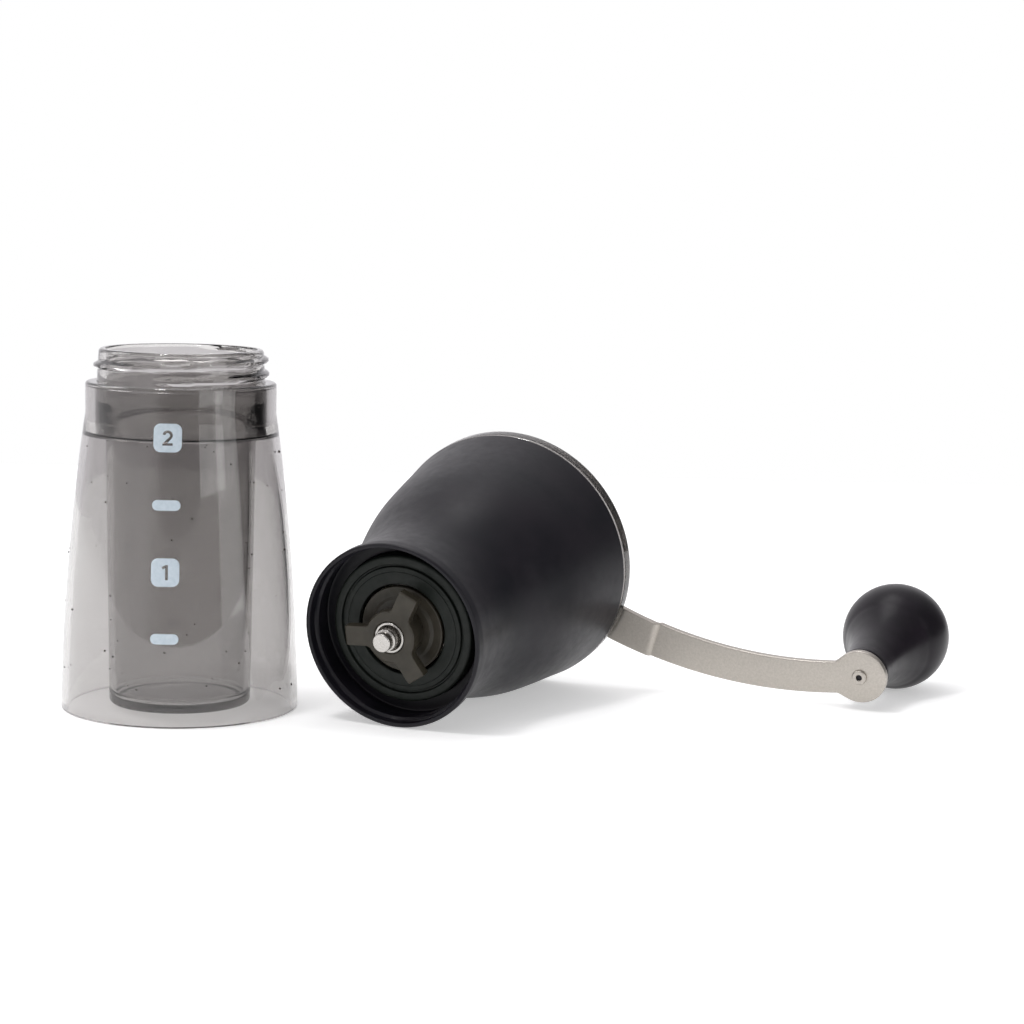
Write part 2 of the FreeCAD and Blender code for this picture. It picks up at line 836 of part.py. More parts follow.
def crank_outline():
    """The arm seen along the shaft: a curved strip between the hub and the pin disc."""
    tall = 8
    outer = [crank_edge_point(share, 1) for share in (0.0, 0.5, 1.0)]
    inner = [crank_edge_point(share, -1) for share in (0.0, 0.5, 1.0)]
    strip = Part.Wire([
        Part.Arc(*outer).toShape(),
        Part.makeLine(outer[2], inner[2]),
        Part.Arc(*reversed(inner)).toShape(),
        Part.makeLine(inner[0], outer[0]),
    ])
    arm = Part.Face(strip).extrude(Vector(0, 0, tall))
    hub = cylinder(S.crank_hub_radius, tall)
    disc = Part.makeCylinder(S.crank_disc_radius.value, tall, Vector(S.crank_radius.value, 0, 0))
    arm = arm.fuse([hub, disc]).removeSplitter()
    corners = []
    for edge in arm.Edges:
        box = edge.BoundBox
        if box.ZLength > tall - 0.01 and max(box.XLength, box.YLength) < 0.01:
            corners.append(edge)
    near_disc = [edge for edge in corners if edge.CenterOfMass.x > S.crank_radius.value / 2]
    near_hub = [edge for edge in corners if edge.CenterOfMass.x < S.crank_radius.value / 2]
    arm = arm.makeFillet(S.disc_fillet.value, near_disc)
    return arm.makeFillet(S.hub_fillet.value, near_hub) if near_hub else arm


def make_crank_arm():
    """Flat steel arm with a small step where it clears the lid's rim."""
    step = S.crank_step.value
    gauge = S.crank_thickness.value
    tall = 9
    reach = 40
    start = -S.crank_hub_radius.value - 1
    end = S.crank_radius.value + S.crank_disc_radius.value + 1
    fold = S.crank_step_radius.value
    ramp = 1.6
    lower = [(start, 0), (fold, 0), (fold + ramp, step), (end, step)]
    upper = [(along, up + gauge) for along, up in reversed(lower)]
    points = [Vector(along, -reach, up) for along, up in lower + upper]
    side_view = Part.Face(Part.makePolygon(points + points[:1])).extrude(Vector(0, 2 * reach, 0))
    arm = side_view.common(crank_outline())
    shaft_hole = cylinder(S.hex_radius + 0.4, tall)
    pin_hole = cylinder(S.pin_radius + S.seat_gap, tall)
    pin_hole.translate(Vector(S.crank_radius.value, 0, 0))
    made_part("crank_arm", arm.cut([shaft_hole, pin_hole]), on_crank(S.crank_height))


def make_crank_boss():
    """Socket on the arm that drops over the shaft's six-sided head."""
    height = S.crank_height + S.crank_thickness
    length = S.boss_length.value
    top_round = 0.8
    boss = cylinder(S.boss_radius, length)
    top_edge = [edge for edge in boss.Edges if edge.CenterOfMass.z > length - 0.01]
    boss = boss.makeFillet(top_round, top_edge)
    turns = [math.radians(60 * index - S.crank_angle.value) for index in range(7)]
    radius = S.hex_radius.value + 0.08
    points = [Vector(radius * math.cos(turn), radius * math.sin(turn), 0) for turn in turns]
    depth = (S.shaft_shoulder + S.hex_length - height).value + 0.3
    socket = Part.Face(Part.makePolygon(points)).extrude(Vector(0, 0, depth))
    made_part("crank_boss", boss.cut(socket), on_crank(height))


def make_knob_pin():
    """Rivet-headed pin, dimpled in the middle, that the knob turns on."""
    dimple = as_size(0.65)
    head = S.pin_head_thickness
    edge = 0.35
    corners = [
        (ZERO, head * 0.7),
        (dimple, head * 0.7),
        (dimple, ZERO),
        (S.pin_head_radius - edge, ZERO),
        (S.pin_head_radius, as_size(edge)),
        (S.pin_head_radius, head),
        (S.pin_radius, head),
        (S.pin_radius, head + S.pin_length),
        (ZERO, head + S.pin_length),
    ]
    foot = S.crank_height + S.crank_step - head
    turned_body("knob_pin", corners, on_crank(foot, S.crank_radius))


def knob_side(foot):
    """The knob's side above its foot: a drawn-in neck that flares smoothly into the ball."""
    ball = S.ball_radius.value
    centre = S.ball_height.value - foot
    join = math.radians(36)
    meet = Vector(ball * math.cos(join), 0, centre - ball * math.sin(join))
    slope = Vector(math.sin(join), 0, math.cos(join))
    foot_edge = Vector(S.knob_foot_radius.value, 0, 1.2)
    neck = Vector(S.knob_neck_radius.value, 0, 5.0)
    belly = Vector(S.knob_neck_radius.value + 1.6, 0, centre / 2)
    curve = Part.BSplineCurve()
    curve.interpolate(
        Points=[foot_edge, neck, belly, meet],
        InitialTangent=Vector(-0.1, 0, 1),
        FinalTangent=slope,
    )
    bulge = Part.Arc(meet, Vector(ball, 0, centre), Vector(0, 0, centre + ball))
    return [curve.toShape(), bulge.toShape()]


def make_knob():
    """Matte black ball with a drawn-in neck, bored for its bush, pin and clip."""
    arm_top = S.crank_height + S.crank_step + S.crank_thickness
    foot = (arm_top + S.knob_washer_thickness + S.running_gap).value
    top = S.ball_height.value - foot + S.ball_radius.value
    side = knob_side(foot)
    edge = 0.5
    clip_thickness = 0.8
    clip_gap = 0.3
    edges = side + line_run([
        Vector(0, 0, top),
        Vector(0, 0, 0),
        Vector(S.knob_foot_radius.value - edge, 0, 0),
        Vector(S.knob_foot_radius.value, 0, edge),
        side[0].Vertexes[0].Point,
    ])
    bush_length = S.pin_length.value - 7
    bore = cylinder(S.knob_bush_radius, bush_length)
    pocket = cylinder(S.clip_radius + 0.5, 5, bush_length)
    knob = turned_shape(edges).cut([bore, pocket])
    made_part("knob", knob, on_crank(foot, S.crank_radius))
    ring_body("knob_bush", S.pin_radius + 0.08, S.knob_bush_radius, as_size(bush_length),
              on_crank(foot, S.crank_radius))
    ring_body("knob_clip", S.pin_radius, S.clip_radius, as_size(clip_thickness),
              on_crank(foot + bush_length + clip_gap, S.crank_radius))


def make_crank_group():
    """Arm, boss, pin and washer, and the knob that turns on the pin."""
    make_crank_arm()
    make_crank_boss()
    make_knob_pin()
    washer_foot = S.crank_height + S.crank_step + S.crank_thickness
    ring_body("knob_washer", S.pin_radius + 0.08, S.knob_foot_radius - 1.2,
              S.knob_washer_thickness, on_crank(washer_foot, S.crank_radius))
    make_knob()


# Everything -------------------------------------------------------------------------------

def check_model():
    """Stop on any failed object or any sub-part without one valid, closed shape."""
    document.recompute()
    for item in document.Objects:
        if {"Invalid", "Error"} & set(item.State):
            raise RuntimeError(f"{item.Label} failed: {item.State}")
    for part in PARTS:
        shape = part.Shape
        if shape.isNull() or not shape.isValid() or not shape.Solids:
            raise RuntimeError(f"{part.Label} has no valid solid")


def write_parts():
    os.makedirs("parts", exist_ok=True)
    for part in PARTS:
        part.Shape.exportStep(f"parts/{part.Label}.step")
        box = part.Shape.BoundBox
        print(f"{part.Label:20s} {part.Shape.Volume:10.1f} mm3"
              f"  x {box.XMin:7.1f} {box.XMax:7.1f}  y {box.YMin:7.1f} {box.YMax:7.1f}"
              f"  z {box.ZMin:7.1f} {box.ZMax:7.1f}  solids {len(part.Shape.Solids)}")


make_jar_vessel()
make_jar_skirt()
make_scale_marks()
make_bell_housing()
make_burr_holder()
make_outer_burr()
make_inner_burr()
make_burr_carrier()
make_adjuster_star()
make_adjuster_insert()
make_shaft_group()
make_lid()
make_crank_group()
check_model()
write_parts()
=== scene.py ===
import json
import math
import random

import bmesh
import bpy
from mathutils import Matrix, Vector


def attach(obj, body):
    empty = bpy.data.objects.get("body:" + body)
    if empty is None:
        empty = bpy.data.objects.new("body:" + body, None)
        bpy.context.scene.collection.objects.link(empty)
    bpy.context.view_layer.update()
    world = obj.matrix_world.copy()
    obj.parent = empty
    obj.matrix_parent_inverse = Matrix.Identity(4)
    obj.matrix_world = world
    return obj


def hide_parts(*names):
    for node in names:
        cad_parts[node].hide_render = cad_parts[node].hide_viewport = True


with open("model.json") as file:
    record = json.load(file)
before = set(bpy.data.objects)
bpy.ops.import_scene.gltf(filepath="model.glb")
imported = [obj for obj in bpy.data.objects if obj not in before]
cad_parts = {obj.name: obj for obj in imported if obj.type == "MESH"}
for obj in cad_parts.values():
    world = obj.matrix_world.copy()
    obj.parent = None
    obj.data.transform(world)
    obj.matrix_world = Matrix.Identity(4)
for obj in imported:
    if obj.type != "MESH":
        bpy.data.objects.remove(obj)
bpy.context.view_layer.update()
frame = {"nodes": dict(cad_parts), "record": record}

# Looks of a hand crank coffee grinder laid out on a white table: its clear grounds jar, and
# beside it the mill on its side. Shapes are given in millimetres about the jar's axis, the
# mill's axis or the crank's pin, and MM turns them into the frame's metres.
MM = 0.001
JOINTS = {joint["name"]: joint for joint in frame["record"]["behaviour"]["joints"]}


# Frames -----------------------------------------------------------------------------------------

def mill_matrix():
    """The mill's own frame: origin in the middle of its mouth, Z towards the lid."""
    mouth = next(mount for mount in frame["record"]["mounts"] if mount["name"] == "mill_mouth")
    origin = Vector(mouth["pos_m"])
    axis = -Vector(mouth["axis"]).normalized()
    side = Vector(JOINTS["mill_tip_up"]["axis"]).normalized()
    down = axis.cross(side)
    rows = [(side[i], down[i], axis[i], origin[i]) for i in range(3)]
    return Matrix(rows + [(0, 0, 0, 1)])


MILL = mill_matrix()
JAR = Matrix.Identity(4)
PIVOT = MILL.inverted() @ Vector(JOINTS["knob_spin"]["pos_m"])
CRANK_REACH = math.hypot(PIVOT.x, PIVOT.y) / MM
CRANK = MILL @ Matrix.Rotation(math.atan2(PIVOT.y, PIVOT.x), 4, "Z")
PIN = CRANK @ Matrix.Translation((CRANK_REACH * MM, 0, 0))


# Driving sizes, in millimetres ------------------------------------------------------------------

FOOT = 31.8
WAIST = 29.4
WAIST_UP = 44.2
COLLAR = 25.3
COLLAR_UP = 79.5
BAND_FOOT = 73.6
SHOULDER = 87.6
RIM = 96.4
SKIRT_WALL = 1.8
COLLAR_LIP = 1.4
SEAT = 22.65
NECK = 22.3
NECK_BORE = 20.1
VESSEL_TOP = 19.9
VESSEL_FOOT = 18.9
VESSEL_WALL = 1.6
VESSEL_LIFT = 1.2
VESSEL_FLOOR = 3.1
MARK_START = 23.4
MARK_SPACING = 17.2
MARK_WIDTH = 7.3

MOUTH = 25.0
MOUTH_BORE = 23.8
MOUTH_DEPTH = 10.0
BELL = 36.2
LID = 36.28
HOUSING = 74.0
HOLDER = 20.0
HOLDER_FACE = 6.5
BURR_FACE = 6.3
CARRIER = 11.6
STAR_FACE = -1.1
STAR_ANGLE = 57.3
STAR_TIP = 13.0
STAR_HALF_WIDTH = 2.7
STAR_HUB = 7.0
LID_TOP = 79.0
SHAFT = 3.0
SHAFT_END = -5.8
SHAFT_SHOULDER = 75.0
SHAFT_HEAD = 86.0

ARM_FACE = 79.9
ARM_GAUGE = 2.0
ARM_STEP = 1.2
ARM_STEP_AT = 45.8
ARM_BULGE = 10.9
ARM_HUB = 8.5
ARM_DISC = 7.4
ARM_HALF_WIDTH = 5.7
ARM_TAPER = 1.3
BALL = 15.1
BALL_UP = 118.6
KNOB_FOOT = 83.7


# Mesh helpers -----------------------------------------------------------------------------------

def place_work(name, work):
    """Turn finished bmesh work into an object in the scene."""
    mesh = bpy.data.meshes.new(name)
    work.to_mesh(mesh)
    work.free()
    piece = bpy.data.objects.new(name, mesh)
    bpy.context.scene.collection.objects.link(piece)
    return piece


def finish_mesh(name, verts, faces, place, sharp=32):
    """A smooth-shaded object from millimetre vertices, with its sharp edges marked."""
    work = bmesh.new()
    made = [work.verts.new(place @ (Vector(co) * MM)) for co in verts]
    for face in faces:
        work.faces.new([made[i] for i in face])
    bmesh.ops.remove_doubles(work, verts=work.verts, dist=1e-7)
    bmesh.ops.recalc_face_normals(work, faces=work.faces)
    limit = math.radians(sharp)
    for face in work.faces:
        face.smooth = True
    for edge in work.edges:
        if len(edge.link_faces) == 2:
            edge.smooth = edge.calc_face_angle(0) < limit
    return place_work(name, work)


def corner_arc(before, corner, after, radius, steps):
    """Points of a rounded corner between two straight runs."""
    back = before - corner
    ahead = after - corner
    turn = back.angle(ahead, math.pi)
    if radius <= 0 or turn > math.pi - 0.03:
        return [corner]
    reach = min(radius / math.tan(turn / 2), 0.45 * min(back.length, ahead.length))
    radius = reach * math.tan(turn / 2)
    bisector = (back.normalized() + ahead.normalized()).normalized()
    middle = corner + bisector * (radius / math.sin(turn / 2))
    first = corner + back.normalized() * reach - middle
    last = corner + ahead.normalized() * reach - middle
    sweep = math.pi - turn
    points = []
    for step in range(steps + 1):
        share = step / steps
        blend = (first * math.sin((1 - share) * sweep) + last * math.sin(share * sweep))
        points.append(middle + blend / math.sin(sweep))
    return points


def rounded(corners, radius=0.25, steps=4, closed=True):
    """Profile points with every corner rounded; a corner may carry a radius of its own."""
    points = [Vector(corner[:2]) for corner in corners]
    count = len(points)
    out = []
    for i, point in enumerate(points):
        own = corners[i][2] if len(corners[i]) > 2 else radius
        if point.x < 1e-6 or (not closed and i in (0, count - 1)):
            own = 0
        out += corner_arc(points[i - 1], point, points[(i + 1) % count], own, steps)
    return [(point.x, point.y) for point in out]


def ring_faces(turns, rows, closed=True):
    """Faces between the profiles of a turned piece, all the way round."""
    spans = rows if closed else rows - 1
    faces = []
    for turn in range(turns):
        here = turn * rows
        there = ((turn + 1) % turns) * rows
        for row in range(spans):
            after = (row + 1) % rows
            faces.append((here + row, there + row, there + after, here + after))
    return faces


def lathe(name, profile, place, segments=160, relief=None, sharp=32, closed=True):
    """Turn a profile of (radius, height) points about Z, with an optional relief."""
    verts = []
    for turn in range(segments):
        angle = 2 * math.pi * turn / segments
        for radius, up in profile:
            grown = radius + (relief(angle, radius, up) if relief else 0)
            verts.append((grown * math.cos(angle), grown * math.sin(angle), up))
    return finish_mesh(name, verts, ring_faces(segments, len(profile), closed), place, sharp)


def finer(points, step, closed=True):
    """Profile points with long straight runs cut into short ones."""
    out = []
    following = points[1:] + (points[:1] if closed else [])
    for first, second in zip(points, following):
        parts = max(1, math.ceil(math.dist(first, second) / step))
        for part in range(parts):
            share = part / parts
            out.append((first[0] + (second[0] - first[0]) * share,
                        first[1] + (second[1] - first[1]) * share))
    if not closed:
        out.append(points[-1])
    return out


def smooth_step(value):
    """Ease from 0 to 1, held at both ends."""
    value = min(max(value, 0.0), 1.0)
    return value * value * (3 - 2 * value)


def thread_relief(wall, start, pitch, first_turn, turns, depth, width):
    """Height of a helical thread ridge over a plain wall, for lathe()."""
    def relief(angle, radius, up):
        """Height of the ridge at a point of the wall."""
        if abs(radius - wall) > 0.02:
            return 0.0
        share = angle / (2 * math.pi)
        tallest = 0.0
        for whole in range(-1, 4):
            along = share + whole
            if not first_turn <= along <= first_turn + turns:
                continue
            offset = abs(up - start - along * pitch)
            ends = min(along - first_turn, first_turn + turns - along)
            bump = smooth_step((width - offset) / (width * 0.7)) * smooth_step(ends * 9)
            tallest = max(tallest, bump)
        return depth * tallest

    return relief


def circle_through(first, middle, last):
    """Centre and radius of the circle through three points."""
    (ax, ay), (bx, by), (cx, cy) = first, middle, last
    twice = 2 * (ax * (by - cy) + bx * (cy - ay) + cx * (ay - by))
    aa, bb, cc = ax * ax + ay * ay, bx * bx + by * by, cx * cx + cy * cy
    centre = ((aa * (by - cy) + bb * (cy - ay) + cc * (ay - by)) / twice,
              (aa * (cx - bx) + bb * (ax - cx) + cc * (bx - ax)) / twice)
    return centre, math.dist(centre, first)


def spline(points, steps=8):
    """A smooth curve through profile points."""
    pts = [Vector(point) for point in points]
    pts = [pts[0] * 2 - pts[1]] + pts + [pts[-1] * 2 - pts[-2]]
    out = []
    for i in range(1, len(pts) - 2):
        a, b, c, d = pts[i - 1:i + 3]
        for step in range(steps):
            t = step / steps
            out.append(0.5 * (2 * b + (c - a) * t + (2 * a - 5 * b + 4 * c - d) * t * t
                              + (3 * b - a - 3 * c + d) * t ** 3))
    out.append(pts[-2])
    return [(point.x, point.y) for point in out]


def smooth_max(first, second, blend):
    """The larger of two lengths, with the change between them rounded off."""
    mix = max(blend - abs(first - second), 0) / blend
    return max(first, second) + mix * mix * blend / 4


def smooth_min(first, second, blend):
    """The smaller of two lengths, rounded off in the same way."""
    return -smooth_max(-first, -second, blend)


# Piece bookkeeping ------------------------------------------------------------------------------

def settle(piece, body, slot, material, *nodes):
    """Give a piece its material, its body and the CAD nodes that it stands for; the slot argument
    is not used.
    """
    piece.data.materials.clear()
    piece.data.materials.append(material)
    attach(piece, body)
    if nodes:
        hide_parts(*nodes)
    return piece


def paint_nodes(material, *names):
    """Give carried-over CAD nodes a better material."""
    for name in names:
        node = frame["nodes"][name]
        node.data.materials.clear()
        node.data.materials.append(material)


# Materials --------------------------------------------------------------------------------------

class Look:
    """A node material round one Principled shader, with short calls for its usual detail."""

    def __init__(self, name, **sockets):
        """Start a material; a socket is named with underscores for its spaces."""
        self.material = bpy.data.materials.new(name)
        self.material.use_nodes = True
        self.nodes = self.material.node_tree.nodes
        self.links = self.material.node_tree.links
        self.nodes.clear()
        self.output = self.nodes.new("ShaderNodeOutputMaterial")
        self.shader = self.nodes.new("ShaderNodeBsdfPrincipled")
        self.links.new(self.shader.outputs["BSDF"], self.output.inputs["Surface"])
        self.place = self.nodes.new("ShaderNodeTexCoord").outputs["Object"]
        self.height = None
        for socket, value in sockets.items():
            self.shader.inputs[socket.replace("_", " ")].default_value = value

    def noise(self, size, detail=3.0, rough=0.55, stretch=None):
        """Noise whose lumps are about size millimetres across."""
        texture = self.nodes.new("ShaderNodeTexNoise")
        texture.inputs["Scale"].default_value = 1 / (size * MM)
        texture.inputs["Detail"].default_value = detail
        texture.inputs["Roughness"].default_value = rough
        place = self.place
        if stretch:
            mapping = self.nodes.new("ShaderNodeMapping")
            mapping.inputs["Scale"].default_value = stretch
            self.links.new(place, mapping.inputs["Vector"])
            place = mapping.outputs["Vector"]
        self.links.new(place, texture.inputs["Vector"])
        return texture.outputs["Fac"]

    def span(self, value, low, high, start=0.3, end=0.7):
        """Map a noise value to a range."""
        node = self.nodes.new("ShaderNodeMapRange")
        node.inputs["From Min"].default_value = start
        node.inputs["From Max"].default_value = end
        node.inputs["To Min"].default_value = low
        node.inputs["To Max"].default_value = high
        self.links.new(value, node.inputs["Value"])
        return node.outputs["Result"]

    def roughness(self, value, low, high):
        """Vary the roughness with a noise value."""
        self.links.new(self.span(value, low, high), self.shader.inputs["Roughness"])

    def colour(self, value, first, second, start=0.3, end=0.7):
        """Drift the base colour between two colours."""
        ramp = self.nodes.new("ShaderNodeValToRGB")
        ramp.color_ramp.elements[0].position = start
        ramp.color_ramp.elements[0].color = (*first, 1)
        ramp.color_ramp.elements[1].position = end
        ramp.color_ramp.elements[1].color = (*second, 1)
        self.links.new(value, ramp.inputs["Fac"])
        self.links.new(ramp.outputs["Color"], self.shader.inputs["Base Color"])

    def bump(self, value, depth, strength=1.0):
        """Raise the surface by a noise value, depth millimetres high."""
        node = self.nodes.new("ShaderNodeBump")
        node.inputs["Distance"].default_value = depth * MM
        node.inputs["Strength"].default_value = strength
        self.links.new(value, node.inputs["Height"])
        if self.height:
            self.links.new(self.height, node.inputs["Normal"])
        self.height = node.outputs["Normal"]
        self.links.new(self.height, self.shader.inputs["Normal"])

    def clear(self, absorb, density, shade):
        """Make the piece clear: thickness darkens it, and lamps shine through it."""
        volume = self.nodes.new("ShaderNodeVolumeAbsorption")
        volume.inputs["Color"].default_value = (*absorb, 1)
        volume.inputs["Density"].default_value = density
        self.links.new(volume.outputs["Volume"], self.output.inputs["Volume"])
        through = self.nodes.new("ShaderNodeBsdfTransparent")
        through.inputs["Color"].default_value = (*shade, 1)
        path = self.nodes.new("ShaderNodeLightPath")
        mix = self.nodes.new("ShaderNodeMixShader")
        self.links.new(path.outputs["Is Shadow Ray"], mix.inputs["Fac"])
        self.links.new(self.shader.outputs["BSDF"], mix.inputs[1])
        self.links.new(through.outputs["BSDF"], mix.inputs[2])
        self.links.new(mix.outputs["Shader"], self.output.inputs["Surface"])


def clear_jar_look():
    """Smoky clear copolyester with faint moulding waviness and handling smudges."""
    look = Look("clear_plastic", Base_Color=(0.690, 0.680, 0.675, 1), IOR=1.5)
    look.shader.inputs["Transmission Weight"].default_value = 1
    look.roughness(look.noise(9), 0.015, 0.05)
    look.bump(look.noise(14, detail=1.5), 0.02, 0.5)
    look.clear(absorb=(0.42, 0.40, 0.385), density=100, shade=(0.64, 0.63, 0.63))
    return look.material


def lid_look():
    """The lid's darker smoke, as clear as the jar."""
    look = Look("smoke_plastic", Base_Color=(0.50, 0.48, 0.48, 1), IOR=1.5)
    look.shader.inputs["Transmission Weight"].default_value = 1
    look.roughness(look.noise(9), 0.03, 0.08)
    look.bump(look.noise(16, detail=1.5), 0.02, 0.5)
    look.clear(absorb=(0.38, 0.36, 0.34), density=180, shade=(0.6, 0.58, 0.57))
    return look.material


def print_look():
    """Pale blue-white screen print with slightly uneven ink."""
    look = Look("print_white", IOR=1.45)
    look.colour(look.noise(0.9), (0.53, 0.62, 0.69), (0.62, 0.70, 0.77))
    look.roughness(look.noise(1.4), 0.42, 0.58)
    look.bump(look.noise(0.25), 0.01, 0.6)
    return look.material


def black_plastic_look():
    """Black ABS with a fine spark-eroded grain and a faint purple drift."""
    look = Look("black_plastic", IOR=1.5, Specular_IOR_Level=0.26)
    look.colour(look.noise(16, detail=2), (0.006, 0.006, 0.009), (0.011, 0.009, 0.013))
    look.roughness(look.noise(3), 0.37, 0.45)
    look.bump(look.noise(0.32, detail=2), 0.03, 0.55)
    return look.material


def green_black_look():
    """The burr holder's dark green-black nylon, lightly dusted with grounds."""
    look = Look("green_black", IOR=1.5, Specular_IOR_Level=0.28)
    look.colour(look.noise(5), (0.005, 0.008, 0.006), (0.009, 0.012, 0.009))
    look.roughness(look.noise(2), 0.42, 0.58)
    look.bump(look.noise(0.3), 0.02, 0.6)
    return look.material


def olive_look():
    """The adjuster's and carrier's olive brown acetal, brown where coffee has stained it."""
    look = Look("olive_plastic", IOR=1.48, Specular_IOR_Level=0.40)
    look.colour(look.noise(3.5), (0.029, 0.025, 0.017), (0.044, 0.038, 0.027))
    look.roughness(look.noise(1.5), 0.38, 0.52)
    look.bump(look.noise(0.35), 0.02, 0.5)
    return look.material


def satin_steel_look():
    """Nickel-grey steel with a fine tumbled grain along the arm."""
    look = Look("satin_steel", Metallic=1.0)
    look.colour(look.noise(0.5, detail=4), (0.42, 0.391, 0.353), (0.50, 0.467, 0.425))
    look.roughness(look.noise(0.6), 0.34, 0.46)
    look.bump(look.noise(0.16, detail=4), 0.012, 0.5)
    return look.material


def bright_steel_look():
    """Turned bright steel."""
    look = Look("bright_steel", Metallic=1.0)
    look.colour(look.noise(0.8), (0.46, 0.444, 0.42), (0.54, 0.522, 0.50))
    look.roughness(look.noise(0.5), 0.20, 0.32)
    look.bump(look.noise(0.12, detail=3), 0.006, 0.5)
    return look.material


def bronze_look():
    """Sintered bronze of the bearings."""
    look = Look("bronze", Metallic=1.0)
    look.colour(look.noise(1.2), (0.52, 0.33, 0.16), (0.62, 0.42, 0.22))
    look.roughness(look.noise(0.6), 0.30, 0.42)
    look.bump(look.noise(0.1, detail=3), 0.006, 0.5)
    return look.material


def ceramic_look():
    """Off-white sintered burr ceramic, stained by coffee in patches."""
    look = Look("ceramic", IOR=1.6)
    look.colour(look.noise(2.5), (0.50, 0.43, 0.33), (0.74, 0.70, 0.63))
    look.roughness(look.noise(1.2), 0.45, 0.62)
    look.bump(look.noise(0.2, detail=4), 0.02, 0.6)
    return look.material


def knob_look():
    """Matte black knob, its fine bead-blasted skin a little purple in the light."""
    look = Look("knob_black", IOR=1.5, Specular_IOR_Level=0.20)
    look.colour(look.noise(7, detail=2), (0.007, 0.006, 0.008), (0.012, 0.009, 0.013))
    look.roughness(look.noise(2.5), 0.30, 0.35)
    look.bump(look.noise(0.28, detail=2), 0.006, 0.55)
    return look.material


def nylon_look():
    """Off-white nylon of the knob's bush and washer."""
    look = Look("nylon", IOR=1.5)
    look.colour(look.noise(2.5), (0.60, 0.58, 0.53), (0.70, 0.68, 0.63))
    look.roughness(look.noise(1), 0.45, 0.55)
    look.bump(look.noise(0.3), 0.015, 0.5)
    return look.material


def grounds_look():
    """Roasted coffee dust."""
    look = Look("coffee_dust", IOR=1.45)
    look.colour(look.noise(0.2), (0.012, 0.007, 0.004), (0.045, 0.022, 0.012))
    look.roughness(look.noise(0.15), 0.6, 0.8)
    look.bump(look.noise(0.08), 0.05, 0.8)
    return look.material


CLEAR = clear_jar_look()
SMOKE = lid_look()
PRINT = print_look()
BLACK = black_plastic_look()
GREEN_BLACK = green_black_look()
OLIVE = olive_look()
SATIN = satin_steel_look()
BRIGHT = bright_steel_look()
BRONZE = bronze_look()
CERAMIC = ceramic_look()
KNOB_BLACK = knob_look()
NYLON = nylon_look()
GROUNDS = grounds_look()


# Grounds jar ------------------------------------------------------------------------------------

SIDE_CENTRE, SIDE_RADIUS = circle_through((FOOT, 0), (WAIST, WAIST_UP), (COLLAR, COLLAR_UP))


def skirt_radius(up, inset=0.0):
    """Radius of the skirt's curved side at a height, moved in by an inset."""
    rise = up - SIDE_CENTRE[1]
    reach = SIDE_RADIUS - inset
    return SIDE_CENTRE[0] + math.copysign(math.sqrt(reach * reach - rise * rise),
                                          FOOT - SIDE_CENTRE[0])


def make_skirt():
    """The flared outer shell, open underneath, with its collar round the vessel's band."""
    gap = 0.03
    outer = [(skirt_radius(up), up) for up in (COLLAR_UP * i / 24 for i in range(25))]
    inner = [(skirt_radius(up, SKIRT_WALL), up) for up in (BAND_FOOT * i / 22 for i in range(23))]
    corners = [(radius, up, 0.6 if up == 0 else 0) for radius, up in outer]
    corners += [
        (COLLAR, SHOULDER, 0.7),
        (NECK + gap, SHOULDER, 0.2),
        (NECK + gap, SHOULDER - COLLAR_LIP, 0.1),
        (SEAT + gap, SHOULDER - COLLAR_LIP, 0.1),
        (SEAT + gap, BAND_FOOT + 0.5, 0.1),
    ]
    corners += [(radius, up, 0.5 if up in (0, BAND_FOOT) else 0) for radius, up in reversed(inner)]
    profile = rounded(corners, steps=4)
    piece = lathe("jar_skirt_shell", profile, JAR, segments=192)
    settle(piece, "jar", "clear_plastic", CLEAR, "jar_skirt")


def make_vessel():
    """The inner cup: rounded floor, band under the collar, and a neck with a helical thread."""
    bore_foot = VESSEL_FOOT - VESSEL_WALL
    band_top = SHOULDER - COLLAR_LIP - 0.05
    corners = [
        (0, VESSEL_LIFT + 0.2, 0),
        (VESSEL_FOOT - 3.4, VESSEL_LIFT + 0.2, 0.4),
        (VESSEL_FOOT - 2.8, VESSEL_LIFT, 0.3),
        (VESSEL_FOOT, VESSEL_LIFT, 2.2),
        (VESSEL_TOP, BAND_FOOT, 0.6),
        (SEAT, BAND_FOOT + 0.5, 0.15),
        (SEAT, band_top, 0.1),
        (NECK, band_top, 0.1),
        (NECK, RIM, 0.9),
        (NECK_BORE, RIM, 0.9),
        (NECK_BORE - 0.1, BAND_FOOT + 9, 4),
        (VESSEL_TOP - VESSEL_WALL, BAND_FOOT + 1.5, 4),
        (bore_foot, VESSEL_FLOOR, 2.2),
        (0, VESSEL_FLOOR, 0),
    ]
    profile = finer(rounded(corners, steps=7, closed=False), 0.35, closed=False)
    thread = thread_relief(NECK, start=SHOULDER + 2.4, pitch=3.7, first_turn=-0.3, turns=1.55,
                           depth=1.15, width=1.15)

    def relief(angle, radius, up):
        """The thread, on a neck that draws in a little towards its rim."""
        share = (up - SHOULDER) / (RIM - SHOULDER)
        draw = 0.5 * max(share, 0) * (radius > NECK_BORE + 0.4)
        return thread(angle, radius, up) - draw

    piece = lathe("jar_vessel_cup", profile, JAR, segments=192, relief=relief, closed=False)
    settle(piece, "jar", "clear_plastic", CLEAR, "jar_vessel")


def add_outline(curve, points):
    """Add a closed outline to a filled curve; one inside another leaves a hole."""
    outline = curve.splines.new("POLY")
    outline.points.add(len(points) - 1)
    for point, (across, rise) in zip(outline.points, points):
        point.co = (across, rise, 0, 1)
    outline.use_cyclic_u = True


